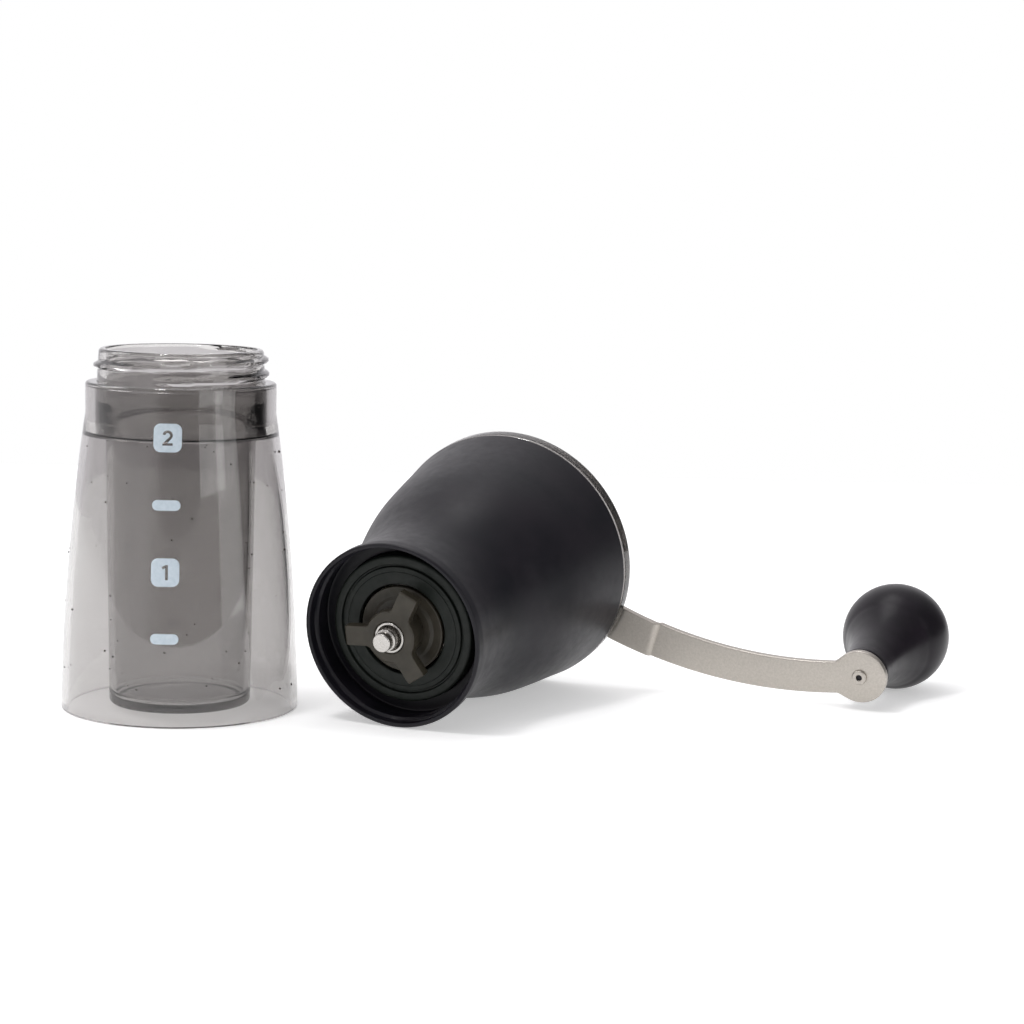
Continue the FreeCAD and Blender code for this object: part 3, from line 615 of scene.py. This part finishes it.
def print_outline(width, height, corner, up, digit=None):
    """Flat mesh of a printed mark in the XZ plane: a rounded plate, less its numeral."""
    curve = bpy.data.curves.new("print_outline", "CURVE")
    curve.dimensions = "2D"
    curve.fill_mode = "BOTH"
    steps = 8
    points = []
    for quarter, (side, rise) in enumerate(((1, 1), (-1, 1), (-1, -1), (1, -1))):
        middle = (side * (width / 2 - corner), rise * (height / 2 - corner))
        for step in range(steps + 1):
            angle = math.pi / 2 * (quarter + step / steps)
            points.append((middle[0] + corner * math.cos(angle),
                           middle[1] + corner * math.sin(angle)))
    add_outline(curve, points)
    if digit:
        add_outline(curve, numeral_outline(digit, tall=3.9))
    holder = bpy.data.objects.new("print_outline", curve)
    bpy.context.scene.collection.objects.link(holder)
    bpy.context.view_layer.update()
    mesh = bpy.data.meshes.new_from_object(holder.evaluated_get(
        bpy.context.evaluated_depsgraph_get()))
    bpy.data.objects.remove(holder)
    mesh.transform(Matrix.Translation((0, up, 0)))
    return mesh


def numeral_outline(digit, tall):
    """Outline of a plain upright 1 or 2 about its middle, drawn four units high and scaled."""
    if digit == "1":
        points = [(0.75, -2.0), (0.75, 2.0), (0.1, 2.0), (-0.95, 1.45), (-0.65, 0.85),
                  (0.0, 1.2), (0.0, -2.0)]
    else:
        steps = 14
        start, end = math.radians(172), math.radians(-42)
        turns = [start + (end - start) * step / steps for step in range(steps + 1)]
        bowl = 0.68
        outer = [(1.35 * math.cos(turn), bowl + 1.32 * math.sin(turn)) for turn in turns]
        inner = [(0.62 * math.cos(turn), bowl + 0.62 * math.sin(turn)) for turn in reversed(turns)]
        foot = [(-0.1, -1.35), (1.35, -1.35), (1.35, -2.0), (-1.35, -2.0), (-1.35, -1.5)]
        points = outer + foot + inner
    return [(across * tall / 4, rise * tall / 4) for across, rise in points]


def make_print():
    """The scale on the jar's front: two numbered squares and two dashes, wrapped on the skirt."""
    work = bmesh.new()
    for step, digit in enumerate((None, "1", None, "2")):
        up = MARK_START + step * MARK_SPACING
        height = MARK_WIDTH if digit else 2.7
        corner = 1.8 if digit else 1.3
        work.from_mesh(print_outline(MARK_WIDTH, height, corner, up, digit))
    bmesh.ops.remove_doubles(work, verts=work.verts, dist=1e-4)
    for _ in range(4):
        long_edges = [edge for edge in work.edges if edge.calc_length() > 0.8]
        if not long_edges:
            break
        bmesh.ops.subdivide_edges(work, edges=long_edges, cuts=1)
        bmesh.ops.triangulate(work, faces=[face for face in work.faces if len(face.verts) > 3])
    for vert in work.verts:
        across, up, _ = vert.co
        radius = skirt_radius(up) + 0.02
        angle = across / radius - math.pi / 2
        vert.co = Vector((radius * math.cos(angle), radius * math.sin(angle), up)) * MM
    bmesh.ops.recalc_face_normals(work, faces=work.faces)
    for face in work.faces:
        face.smooth = True
    piece = place_work("scale_print", work)
    solid = piece.modifiers.new("ink", "SOLIDIFY")
    solid.thickness = 0.08 * MM
    solid.offset = 0
    settle(piece, "jar", "print_white", PRINT, "scale_marks")


def make_specks():
    """A few grains of coffee clinging to the inside of the skirt and the vessel."""
    chance = random.Random(7)
    work = bmesh.new()
    for _ in range(64):
        up = chance.uniform(6, 74)
        angle = math.radians(chance.uniform(-175, -5))
        size = chance.uniform(0.16, 0.42)
        on_skirt = chance.random() < 0.45
        radius = skirt_radius(up) + 0.05 if on_skirt else VESSEL_FOOT + up / BAND_FOOT + 0.05
        if on_skirt and abs(math.degrees(angle) + 90) < 14:
            continue
        place = Matrix.Translation(Vector((radius * math.cos(angle), radius * math.sin(angle),
                                           up)) * MM)
        spin = Matrix.Rotation(chance.uniform(0, 3), 4, Vector((chance.random(), 1, 0.3)))
        shape = Matrix.Diagonal((size * MM, size * 0.7 * MM, size * 0.8 * MM, 1))
        bmesh.ops.create_icosphere(work, subdivisions=2, radius=1, matrix=place @ spin @ shape)
    for face in work.faces:
        face.smooth = True
    piece = place_work("coffee_specks", work)
    settle(piece, "jar", "black_plastic", GROUNDS)


# Bell housing -----------------------------------------------------------------------------------

def bell_side():
    """The bell's outer side, from behind its mouth band to the lid."""
    reach = BELL - MOUTH
    shares = ((3, 0.0), (8, -0.05), (15, -0.07), (22, -0.015), (29, 0.14), (37, 0.385),
              (46, 0.605), (56, 0.76), (66, 0.89), (HOUSING, 1.0))
    return spline([(MOUTH + share * reach, up) for up, share in shares], steps=7)


def make_bell():
    """The black body, with a helical thread inside its mouth and its funnel behind."""
    hopper = 33.4
    ledge = 31.4
    funnel = 19.2
    holder_seat = HOLDER + 0.05
    side = bell_side()
    outside = [(MOUTH_BORE, 0, 0.35), (MOUTH, 0, 0.55)]
    outside += [(radius, up, 0) for radius, up in side[:-1]]
    corners = outside + [
        (BELL, HOUSING, 0.5),
        (hopper, HOUSING, 0.3),
        (hopper, 69.0, 0.5),
        (ledge, 62.0, 0.5),
        (ledge, 58.0, 0.5),
        (30.0, 58.0, 0.5),
        (28.4, 44.5, 3.0),
        (funnel, 29.5, 2.0),
        (funnel, 27.5, 0.3),
        (holder_seat, 27.5, 0.2),
        (holder_seat, MOUTH_DEPTH, 0.3),
        (MOUTH_BORE, MOUTH_DEPTH, 0.5),
    ]
    profile = finer(rounded(corners, steps=4), 0.5)
    relief = thread_relief(MOUTH_BORE, start=2.2, pitch=3.3, first_turn=0.0, turns=1.3,
                           depth=-0.8, width=1.0)
    piece = lathe("bell_shell", profile, MILL, segments=224, relief=relief)
    settle(piece, "mill", "black_plastic", BLACK, "bell_housing")


# Burr group and adjuster ------------------------------------------------------------------------

def make_holder():
    """Dark ring that carries the outer burr: a flat face, a groove and a raised inner lip."""
    lip = HOLDER_FACE - 0.05
    groove = HOLDER_FACE + 0.8
    back, burr_back, opening = 24.0, 18.5, 11.8
    corners = [
        (15.64, lip, 0.06),
        (16.9, lip, 0.2),
        (17.1, groove, 0.1),
        (17.5, groove, 0.1),
        (17.7, HOLDER_FACE, 0.2),
        (HOLDER, HOLDER_FACE, 0.8),
        (HOLDER, back, 0.2),
        (opening, back, 0.2),
        (opening, burr_back, 0.2),
        (15.7, burr_back, 0.1),
    ]
    piece = lathe("burr_holder_ring", rounded(corners, steps=4), MILL)
    settle(piece, "mill", "green_black", GREEN_BLACK, "outer_burr_holder")


def make_burr_ring():
    """The fixed burr's ring: dark face, then a ribbed cone going in."""
    corners = [
        (12.3, BURR_FACE, 0.3),
        (15.6, BURR_FACE + 0.1, 0.1),
        (15.6, 18.4, 0.2),
        (10.4, 18.4, 0.2),
        (12.3, BURR_FACE + 1.6, 0.2),
    ]

    def ribs(angle, radius, up):
        """Eighteen slanting ribs on the cone."""
        if radius > 12.4 or up < BURR_FACE + 1.2:
            return 0.0
        return 0.5 * max(0.0, math.sin(18 * angle + 0.35 * (up - BURR_FACE))) ** 2

    piece = lathe("outer_burr_ring", finer(rounded(corners), 0.8), MILL, segments=216,
                  relief=ribs)
    settle(piece, "mill", "green_black", GREEN_BLACK, "outer_burr")


def make_carrier():
    """Olive disc with a shallow dish round its hub, and its sleeve."""
    bore = SHAFT + 0.1
    back = BURR_FACE + 2
    sleeve, sleeve_end = 6, 20.1
    corners = [
        (bore, BURR_FACE, 0),
        (8.2, BURR_FACE, 0.4),
        (9.0, BURR_FACE + 0.5, 0.4),
        (10.8, BURR_FACE + 0.25, 0.5),
        (CARRIER, BURR_FACE + 0.1, 0.45),
        (CARRIER, back, 0.2),
        (sleeve, back, 0.3),
        (sleeve, sleeve_end, 0.2),
        (bore, sleeve_end, 0),
    ]
    piece = lathe("burr_carrier_disc", rounded(corners, steps=5), MILL)
    settle(piece, "burr", "olive_plastic", OLIVE, "burr_carrier")


def star_reach(angle):
    """Radius of the star's outline: a round hub and three straight arms with round corners."""
    reach = 0.0
    for arm in range(3):
        turn = (angle - math.radians(STAR_ANGLE + 120 * arm) + math.pi) % (2 * math.pi) - math.pi
        if abs(turn) < math.pi / 2:
            tip = STAR_TIP / math.cos(turn)
            flank = STAR_HALF_WIDTH / max(abs(math.sin(turn)), 1e-4)
            reach = max(reach, smooth_min(tip, flank, 1.1))
    return smooth_max(reach, STAR_HUB, 1.8)


def make_star():
    """Three-armed adjuster nut: flat arms, a domed hub and a sleeve that reaches the carrier."""
    segments = 360
    bore = 4.2
    lead_in = 0.3
    thickness = 3.2
    sleeve = 6.3
    fall = 0.35
    rim = 0.45
    sleeve_end = BURR_FACE - 0.05
    verts = []
    for turn in range(segments):
        angle = 2 * math.pi * turn / segments
        reach = star_reach(angle)
        start = bore + lead_in
        inside = [start] + [start + (reach - rim - start) * i / 9 for i in range(1, 10)]
        ring = [(bore, STAR_FACE + lead_in)]
        for radius in inside:
            dome = fall * smooth_step((radius - bore) / 4.5)
            ring.append((radius, STAR_FACE + dome * (1 if radius > bore + 0.5 else 0.6)))
        edge = STAR_FACE + fall
        for step in range(1, 5):
            bend = math.pi / 2 * step / 4
            ring.append((reach - rim + rim * math.sin(bend), edge + rim * (1 - math.cos(bend))))
        foot = STAR_FACE + thickness
        ring += [(reach, foot - 0.2), (reach - 0.2, foot)]
        ring += [(sleeve, foot), (sleeve, sleeve_end), (bore, sleeve_end)]
        verts += [(radius * math.cos(angle), radius * math.sin(angle), up) for radius, up in ring]
    faces = ring_faces(segments, len(ring))
    piece = finish_mesh("adjuster_star_nut", verts, faces, MILL, sharp=40)
    settle(piece, "adjuster", "olive_plastic", OLIVE, "adjuster_star")


def make_insert():
    """Bright threaded bush in the star, its rim standing a little proud."""
    face = STAR_FACE - 0.05
    back = BURR_FACE - 0.1
    outside = 4.15
    bore = SHAFT + 0.05
    corners = [
        (bore + 0.3, face + 0.5, 0.15),
        (bore + 0.45, face, 0.15),
        (outside - 0.05, face, 0.25),
        (outside, face + 0.8, 0.2),
        (outside, back, 0.1),
        (bore, back, 0.1),
        (bore, face + 0.9, 0.1),
    ]
    piece = lathe("adjuster_insert_bush", rounded(corners), MILL, segments=96)
    settle(piece, "adjuster", "bright_steel", BRIGHT, "adjuster_insert")


def make_shaft():
    """Bright shaft: a plain stepped tip, a round body and a six-sided head."""
    tip, tip_length = 2.5, 2.2
    head = 2.85
    corners = [
        (0, SHAFT_END, 0),
        (tip, SHAFT_END, 0.35),
        (tip, SHAFT_END + tip_length, 0.15),
        (SHAFT - 0.05, SHAFT_END + tip_length + 0.1, 0.25),
        (SHAFT, SHAFT_SHOULDER, 0.1),
        (head, SHAFT_SHOULDER, 0.05),
        (head, SHAFT_HEAD, 0.3),
        (0, SHAFT_HEAD, 0),
    ]
    profile = finer(rounded(corners, closed=False), 0.6, closed=False)

    def relief(angle, radius, up):
        """Six flats on the head."""
        if up > SHAFT_SHOULDER:
            turn = angle % (math.pi / 3) - math.pi / 6
            return radius * (math.cos(math.pi / 6) / math.cos(turn) - 1)
        return 0.0

    piece = lathe("drive_shaft_rod", profile, MILL, segments=96, relief=relief, closed=False)
    settle(piece, "shaft", "bright_steel", BRIGHT, "drive_shaft")


# Lid --------------------------------------------------------------------------------------------

def make_lid():
    """Clear cover: a flat plate, a thick round-edged rim and a skirt inside the hopper."""
    hole = 4.5
    plate_foot = LID_TOP - 2
    skirt, skirt_bore, skirt_end = 33.2, 31.6, HOUSING - 4
    rim_foot = HOUSING + 0.06
    corners = [
        (hole, plate_foot, 0.3),
        (skirt_bore, plate_foot, 0.5),
        (skirt_bore, skirt_end, 0.3),
        (skirt, skirt_end, 0.3),
        (skirt, rim_foot, 0.2),
        (LID - 0.1, rim_foot, 0.9),
        (LID, LID_TOP - 0.9, 0.4),
        (LID - 1.0, LID_TOP, 0.9),
        (hole, LID_TOP, 0.4),
    ]
    piece = lathe("lid_cover", rounded(corners, steps=5), MILL, segments=192)
    settle(piece, "lid", "smoke_plastic", SMOKE, "lid")


# Crank and knob ---------------------------------------------------------------------------------

def arm_line(along):
    """Point and left-hand normal of the arm's curved centre line."""
    radius = (CRANK_REACH ** 2 / 4 + ARM_BULGE ** 2) / (2 * ARM_BULGE)
    centre = Vector((CRANK_REACH / 2, ARM_BULGE - radius))
    half = math.asin(CRANK_REACH / 2 / radius)
    angle = math.pi / 2 + half - along / radius
    normal = Vector((math.cos(angle), math.sin(angle)))
    return centre + normal * radius, normal, 2 * half * radius


def arm_half_width(along, length):
    """Half the arm's width: hub, tapering strip and pin disc, blended together."""
    hub = math.sqrt(max(ARM_HUB ** 2 - along ** 2, 0))
    disc = math.sqrt(max(ARM_DISC ** 2 - (along - length) ** 2, 0))
    share = min(max(along / length, 0), 1)
    strip = ARM_HALF_WIDTH - ARM_TAPER * share if 0 <= along <= length else 0
    return smooth_max(smooth_max(hub, strip, 1.2), disc, 2.2)


def make_arm():
    """Steel arm: rounded edges, a curved tapering strip and the joggle that clears the lid."""
    _, _, length = arm_line(0)
    stops = []
    count = 230
    for i in range(count + 1):
        swing = 0.5 - 0.5 * math.cos(math.pi * i / count)
        even = i / count
        share = 0.45 * swing + 0.55 * even
        stops.append(-ARM_HUB + (ARM_HUB + length + ARM_DISC) * share)
    round_off = 0.38
    joggle = 0.9
    verts = []
    for along in stops:
        point, normal, _ = arm_line(along)
        half = max(arm_half_width(along, length), 0.02)
        soft = min(round_off, half)
        lift = ARM_STEP * smooth_step((point.x - ARM_STEP_AT) / joggle)
        section = []
        for across_sign, up_sign in ((1, -1), (1, 1), (-1, 1), (-1, -1)):
            for step in range(4):
                share = math.pi / 2 * step / 3
                turn = share if across_sign * up_sign < 0 else math.pi / 2 - share
                across = across_sign * (half - soft + soft * math.sin(turn))
                rise = up_sign * (ARM_GAUGE / 2 - soft + soft * math.cos(turn))
                section.append((across, rise))
        for across, rise in section:
            spot = point + normal * across
            verts.append((spot.x, spot.y, ARM_FACE + ARM_GAUGE / 2 + lift + rise))
    rows = 16
    faces = [tuple(reversed(range(rows)))]
    for stop in range(len(stops) - 1):
        here, there = stop * rows, (stop + 1) * rows
        for row in range(rows):
            after = (row + 1) % rows
            faces.append((here + row, here + after, there + after, there + row))
    faces.append(tuple((len(stops) - 1) * rows + row for row in range(rows)))
    piece = finish_mesh("crank_arm_strip", verts, faces, CRANK, sharp=38)
    settle(piece, "crank", "satin_steel", SATIN, "crank_arm")


def make_boss():
    """Round socket over the shaft's head."""
    foot = ARM_FACE + ARM_GAUGE - 0.01
    top = foot + 5.6
    outside = 6.5
    dimple = top - 0.5
    corners = [
        (0, foot, 0),
        (outside, foot, 0.1),
        (outside, top, 0.9),
        (2.4, top, 0.3),
        (2.1, dimple, 0.3),
        (0, dimple, 0),
    ]
    piece = lathe("crank_boss_cap", rounded(corners, closed=False), MILL, segments=128,
                  closed=False)
    settle(piece, "crank", "satin_steel", SATIN, "crank_boss")


def make_pin():
    """Rivet pin with a dimpled head, and a black disc down in the dimple that paints its shade."""
    face = ARM_FACE + ARM_STEP
    head_face = face - 0.8
    dimple = face + 1.6
    head, shank, end = 2.05, 1.6, face + 32
    corners = [
        (0, dimple, 0),
        (0.75, dimple, 0.1),
        (0.85, head_face, 0.12),
        (head, head_face, 0.45),
        (head, face, 0.05),
        (shank, face, 0.05),
        (shank, end, 0.2),
        (0, end, 0),
    ]
    piece = lathe("knob_pin_rivet", rounded(corners, closed=False), PIN, segments=72,
                  closed=False)
    settle(piece, "crank", "bright_steel", SATIN, "knob_pin")
    # A black disc set down in the dimple: painted shade that darkens the dimple.
    plug = [(0, face - 0.2), (0.82, face - 0.2), (0.82, face + 0.4), (0, face + 0.4)]
    piece = lathe("knob_pin_dimple_shade", plug, PIN, segments=24, closed=False)
    settle(piece, "crank", "black_plastic", BLACK)


def make_knob():
    """Matte ball with a drawn-in neck and a soft foot, bored for its bush and clip."""
    join = math.radians(36)
    bush_bore, clip_bore = 3.05, 3.7
    clip_foot, bore_end = KNOB_FOOT + 25, KNOB_FOOT + 30
    meet = (BALL * math.cos(join), BALL_UP - BALL * math.sin(join))
    neck = spline([(7.2, KNOB_FOOT + 1.2), (7.0, KNOB_FOOT + 3), (7.0, KNOB_FOOT + 5.3),
                   (7.3, KNOB_FOOT + 10), (8.35, KNOB_FOOT + 16), (10.1, KNOB_FOOT + 21.4), meet],
                  steps=7)
    count = 40
    ball = []
    for i in range(1, count + 1):
        angle = -join + (join + math.pi / 2) * i / count
        ball.append((BALL * math.cos(angle), BALL_UP + BALL * math.sin(angle)))
    ball[-1] = (0, BALL_UP + BALL)
    corners = [
        (0, bore_end, 0),
        (clip_bore, bore_end, 0),
        (clip_bore, clip_foot, 0),
        (bush_bore, clip_foot, 0),
        (bush_bore, KNOB_FOOT, 0.2),
        (7.2, KNOB_FOOT, 0.6),
    ]
    corners += [(radius, up, 0) for radius, up in neck + ball]
    piece = lathe("knob_ball", rounded(corners, closed=False), PIN, segments=128, closed=False)
    settle(piece, "knob", "knob_black", KNOB_BLACK, "knob")


def paint_inner_parts():
    """Finishes of the pieces that stay as the CAD model made them."""
    paint_nodes(CERAMIC, "inner_burr")
    paint_nodes(BLACK, "upper_spider", "lower_spider")
    paint_nodes(BRONZE, "upper_bush", "lower_bush")
    paint_nodes(BRIGHT, "thrust_washer", "shaft_ring", "burr_spring", "knob_clip")
    paint_nodes(NYLON, "knob_bush", "knob_washer")


make_skirt()
make_vessel()
make_print()
make_specks()
make_bell()
make_holder()
make_burr_ring()
make_carrier()
make_star()
make_insert()
make_shaft()
make_lid()
make_arm()
make_boss()
make_pin()
make_knob()
paint_inner_parts()


# Table, light and camera ------------------------------------------------------------------------

def make_table():
    """White paper that ends a little in front of the jar, as a table does."""
    near, far, half, down = -300, 560, 2500, -0.05
    verts = [(-half, near, down), (half, near, down), (half, far, down), (-half, far, down)]
    table = finish_mesh("table", verts, [(0, 1, 2, 3)], JAR)
    look = Look("table_paper")
    look.colour(look.noise(60), (0.86, 0.86, 0.86), (0.89, 0.89, 0.89))
    look.roughness(look.noise(20), 0.75, 0.85)
    look.shader.inputs["Specular IOR Level"].default_value = 0.1
    look.shader.inputs["Emission Color"].default_value = (1, 1, 1, 1)
    look.shader.inputs["Emission Strength"].default_value = 0.40
    table.data.materials.append(look.material)


def smooth_range(nodes, links, value, source, target):
    """Map a value smoothly from one range to another."""
    fade = nodes.new("ShaderNodeMapRange")
    fade.interpolation_type = "SMOOTHSTEP"
    fade.inputs["From Min"].default_value = source[0]
    fade.inputs["From Max"].default_value = source[1]
    fade.inputs["To Min"].default_value = target[0]
    fade.inputs["To Max"].default_value = target[1]
    links.new(value, fade.inputs["Value"])
    return fade.outputs["Result"]


def glow(nodes, links, place, aim, source, target):
    """Brightness of the room towards an aim, fading smoothly away from it."""
    dot = nodes.new("ShaderNodeVectorMath")
    dot.operation = "DOT_PRODUCT"
    dot.inputs[1].default_value = Vector(aim).normalized()
    links.new(place, dot.inputs[0])
    return smooth_range(nodes, links, dot.outputs["Value"], source, target)


def brighter(nodes, links, first, second):
    """The brighter of two glows."""
    most = nodes.new("ShaderNodeMath")
    most.operation = "MAXIMUM"
    links.new(first, most.inputs[0])
    links.new(second, most.inputs[1])
    return most.outputs["Value"]


def backdrop(nodes, colour, strength):
    """A background shader whose strength is a number or a socket."""
    shader = nodes.new("ShaderNodeBackground")
    shader.inputs["Color"].default_value = (*colour, 1)
    if isinstance(strength, float):
        shader.inputs["Strength"].default_value = strength
    else:
        shader.id_data.links.new(strength, shader.inputs["Strength"])
    return shader.outputs["Background"]


def make_world():
    """White backdrop; the room is brightest overhead and to the left, dim behind the camera."""
    world = bpy.data.worlds.new("studio")
    bpy.context.scene.world = world
    world.use_nodes = True
    nodes, links = world.node_tree.nodes, world.node_tree.links
    nodes.clear()
    output = nodes.new("ShaderNodeOutputWorld")
    place = nodes.new("ShaderNodeTexCoord").outputs["Generated"]
    overhead, back_wall, side_wall = (-0.55, 0.35, 0.76), (-0.3, 0.95, 0), (-0.97, -0.25, 0)
    room = glow(nodes, links, place, overhead, (-0.35, 1.0), (0.04, 0.78))
    behind = glow(nodes, links, place, back_wall, (0.3, 0.75), (0.0, 1.0))
    left = glow(nodes, links, place, side_wall, (0.35, 0.8), (0.0, 0.80))
    soft = backdrop(nodes, (0.99, 0.98, 1.0), brighter(nodes, links, room, behind))
    both = brighter(nodes, links, room, brighter(nodes, links, behind, left))
    sharp = backdrop(nodes, (0.99, 0.97, 1.0), both)
    path = nodes.new("ShaderNodeLightPath")
    indirect = nodes.new("ShaderNodeMixShader")
    links.new(path.outputs["Is Diffuse Ray"], indirect.inputs["Fac"])
    links.new(sharp, indirect.inputs[1])
    links.new(soft, indirect.inputs[2])
    mix = nodes.new("ShaderNodeMixShader")
    links.new(path.outputs["Is Camera Ray"], mix.inputs["Fac"])
    links.new(indirect.outputs["Shader"], mix.inputs[1])
    links.new(backdrop(nodes, (1, 1, 1), 1.0), mix.inputs[2])
    links.new(mix.outputs["Shader"], output.inputs["Surface"])


def add_softbox(name, spot, aim, width, height, power):
    """A rectangular soft light at a spot, pointed at a place, in metres and watts."""
    light = bpy.data.lights.new(name, "AREA")
    light.shape = "RECTANGLE"
    light.size = width
    light.size_y = height
    light.energy = power
    lamp = bpy.data.objects.new(name, light)
    lamp.location = spot
    lamp.rotation_euler = (Vector(aim) - Vector(spot)).to_track_quat("-Z", "Y").to_euler()
    bpy.context.scene.collection.objects.link(lamp)


def make_camera():
    """A long lens a little above the table, looking slightly down and turned a touch."""
    spot = Vector((88.84, -661.62, 140.33)) * MM
    pitch = math.radians(7.396)
    roll = math.radians(1.258)
    ahead = Vector((0, math.cos(pitch), -math.sin(pitch)))
    across = Vector((1, 0, 0))
    above = across.cross(ahead)
    right = across * math.cos(roll) + above * math.sin(roll)
    upright = above * math.cos(roll) - across * math.sin(roll)
    rows = [(right[i], upright[i], -ahead[i], spot[i]) for i in range(3)]
    lens = bpy.data.cameras.new("camera")
    lens.sensor_width = 36
    lens.lens = 87.44
    lens.clip_start = 0.01
    camera = bpy.data.objects.new("camera", lens)
    camera.matrix_world = Matrix(rows + [(0, 0, 0, 1)])
    bpy.context.scene.collection.objects.link(camera)
    bpy.context.scene.camera = camera


# Each lamp's name, spot, aim, width, height and power.
LAMPS = (
    ("window_left", (-0.85, 0.12, 0.62), (0.05, 0, 0), 0.55, 0.55, 3.4),
    ("overhead", (0.0, 0.15, 1.1), (0.08, 0, 0), 0.6, 0.5, 2.4),
    ("front_top", (-0.23, -0.29, 0.90), (0.15, 0, 0.02), 0.14, 0.14, 1.9),
    ("front_right", (0.73, -0.75, 0.44), (0.2, 0, 0.02), 0.6, 0.6, 1.7),
    ("card_right", (0.46, -0.26, 0.10), (0, 0, 0.06), 0.24, 0.24, 0.26),
)

make_table()
make_world()
for lamp in LAMPS:
    add_softbox(*lamp)
make_camera()
bpy.context.scene.view_settings.view_transform = "Standard"
